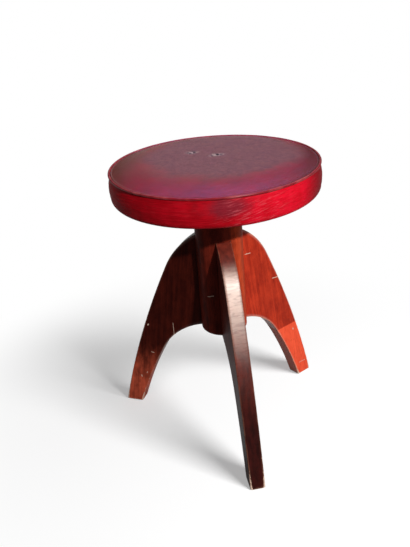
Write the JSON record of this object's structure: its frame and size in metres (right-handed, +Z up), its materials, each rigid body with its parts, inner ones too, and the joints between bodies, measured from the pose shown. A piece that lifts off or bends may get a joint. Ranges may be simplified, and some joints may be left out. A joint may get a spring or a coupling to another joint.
{
  "type": "revolving stool",
  "caption": "Round stuffed leather seat on a coarse raising screw, over a turned column with arched plank legs.",
  "frame": {"origin": "on the column's axis, at the floor that the three soles stand on", "axes": "+Z up along the column and the screw, -Y towards the front leg"},
  "size_m": [0.3784, 0.3819, 0.4998],
  "materials": {
    "mahogany": "gloss",
    "beech": "matte",
    "birch": "matte",
    "black_iron": "satin",
    "bright_steel": "satin",
    "top_leather": "satin",
    "side_leather": "satin",
    "stuffing": "matte",
    "dust_cloth": "matte"
  },
  "bodies": {
    "stand": {"column": "mahogany", "leg_front": "mahogany", "leg_right": "mahogany", "leg_left": "mahogany", "leg_front_dowel_1": "beech", "leg_front_dowel_2": "beech", "leg_front_dowel_3": "beech", "leg_right_dowel_1": "beech", "leg_right_dowel_2": "beech", "leg_right_dowel_3": "beech", "leg_left_dowel_1": "beech", "leg_left_dowel_2": "beech", "leg_left_dowel_3": "beech", "spindle_nut": "black_iron", "nut_screw_1": "bright_steel", "nut_screw_2": "bright_steel", "nut_screw_3": "bright_steel"},
    "stop": {"stop_washer": "black_iron"},
    "seat": {"spindle": "bright_steel", "spindle_pin": "bright_steel", "seat_plate": "black_iron", "plate_screw_1": "bright_steel", "plate_screw_2": "bright_steel", "plate_screw_3": "bright_steel", "plate_screw_4": "bright_steel", "seat_board": "birch", "seat_pad": "stuffing", "seat_cover_top": "top_leather", "seat_piping": "top_leather", "seat_cover_band": "side_leather", "bottom_cloth": "dust_cloth"}
  },
  "joints": [
    {"name": "seat_rise", "type": "slide", "parent": "stand", "child": "stop", "axis": [0, 0, 1], "range_m": [0, 0.1]},
    {"name": "seat_turn", "type": "hinge", "parent": "stop", "child": "seat", "pos_m": [0, 0, 0.4245], "axis": [0, 0, 1], "range_deg": [0, 4500]}
  ],
  "couplings": [
    {"joint": "seat_rise", "follows": "seat_turn", "m_per_rad": 0.0012732}
  ]
}
